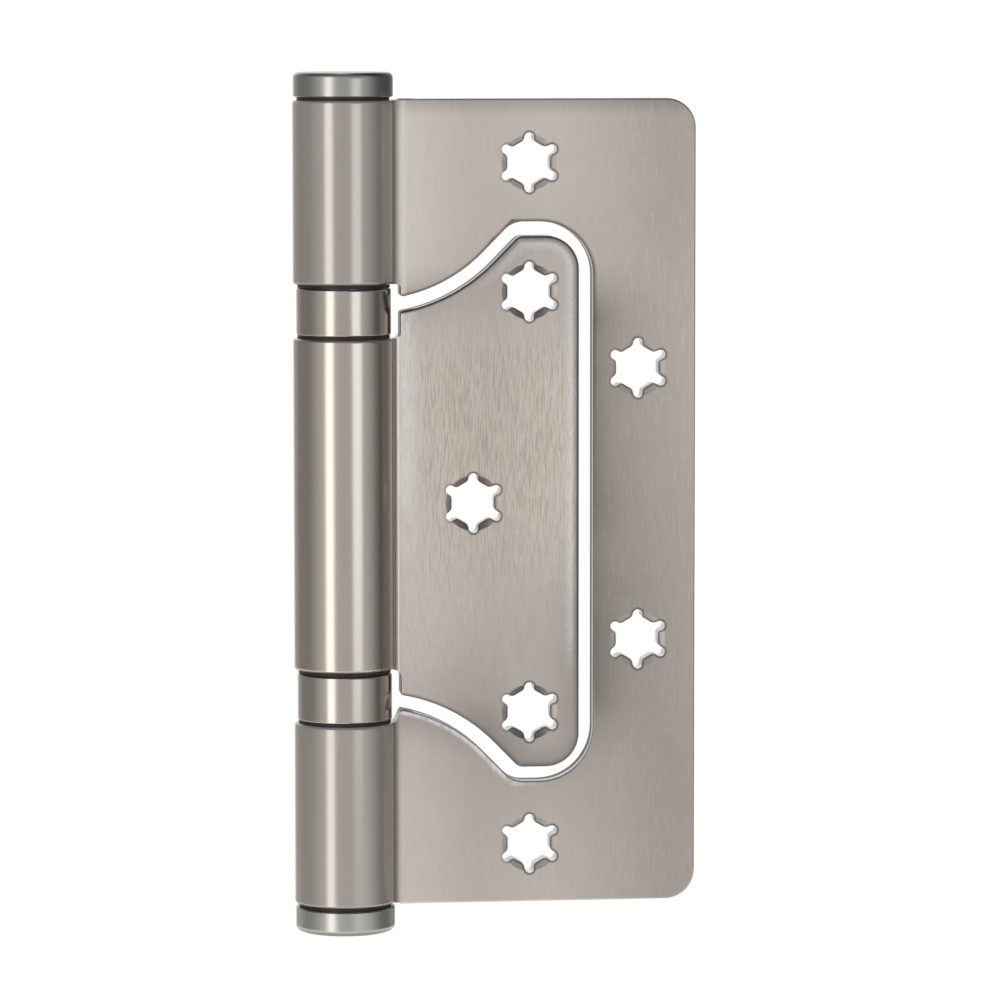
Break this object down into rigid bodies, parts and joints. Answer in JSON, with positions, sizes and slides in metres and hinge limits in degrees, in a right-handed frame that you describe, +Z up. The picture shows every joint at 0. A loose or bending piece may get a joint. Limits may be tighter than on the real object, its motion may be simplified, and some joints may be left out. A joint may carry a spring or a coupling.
{
  "type": "butterfly hinge",
  "caption": "Flush butterfly door hinge, closed flat, with star-shaped screw holes and ball bearings between its rolled knuckles.",
  "frame": {"origin": "on the pin's axis, at the middle of the leaves' height", "axes": "+Z up along the pin, +X across both closed leaves, -Y out of the face that shows the screw heads; the sheet's middle plane is Y = 0"},
  "size_m": [0.0507, 0.0126, 0.1084],
  "materials": {
    "leaf_steel": "satin stainless sheet, brushed along the height",
    "cap_steel": "fine-grained stainless",
    "shell_steel": "smooth drawn stainless",
    "pin_steel": "ground steel",
    "bearing_steel": "hardened and ground",
    "cage_plastic": "moulded",
    "bush_plastic": "moulded, black"
  },
  "bodies": {
    "outer": {"outer_leaf": "leaf_steel", "hinge_pin": "pin_steel", "top_cap": "cap_steel", "bottom_cap": "cap_steel", "top_knuckle_upper_bush": "bush_plastic", "top_knuckle_lower_bush": "bush_plastic", "bottom_knuckle_upper_bush": "bush_plastic", "bottom_knuckle_lower_bush": "bush_plastic", "upper_bearing_top_race": "bearing_steel", "lower_bearing_shell": "shell_steel", "lower_bearing_bottom_race": "bearing_steel"},
    "inner": {"inner_leaf": "leaf_steel", "centre_knuckle_upper_bush": "bush_plastic", "centre_knuckle_lower_bush": "bush_plastic", "upper_bearing_shell": "shell_steel", "upper_bearing_bottom_race": "bearing_steel", "lower_bearing_top_race": "bearing_steel"},
    "upper_cage": {"upper_ball_cage": "cage_plastic", "upper_bearing_balls": "bearing_steel"},
    "lower_cage": {"lower_ball_cage": "cage_plastic", "lower_bearing_balls": "bearing_steel"}
  },
  "joints": [
    {"name": "leaf_fold", "type": "hinge", "parent": "outer", "child": "inner", "pos_m": [0, 0, 0], "axis": [0, 0, -1], "range_deg": [0, 180]},
    {"name": "upper_cage_roll", "type": "hinge", "parent": "outer", "child": "upper_cage", "pos_m": [0, 0, 0], "axis": [0, 0, -1], "range_deg": [0, 90]},
    {"name": "lower_cage_roll", "type": "hinge", "parent": "outer", "child": "lower_cage", "pos_m": [0, 0, 0], "axis": [0, 0, -1], "range_deg": [0, 90]}
  ],
  "couplings": [
    {"joint": "upper_cage_roll", "follows": "leaf_fold", "ratio": 0.5},
    {"joint": "lower_cage_roll", "follows": "leaf_fold", "ratio": 0.5}
  ]
}
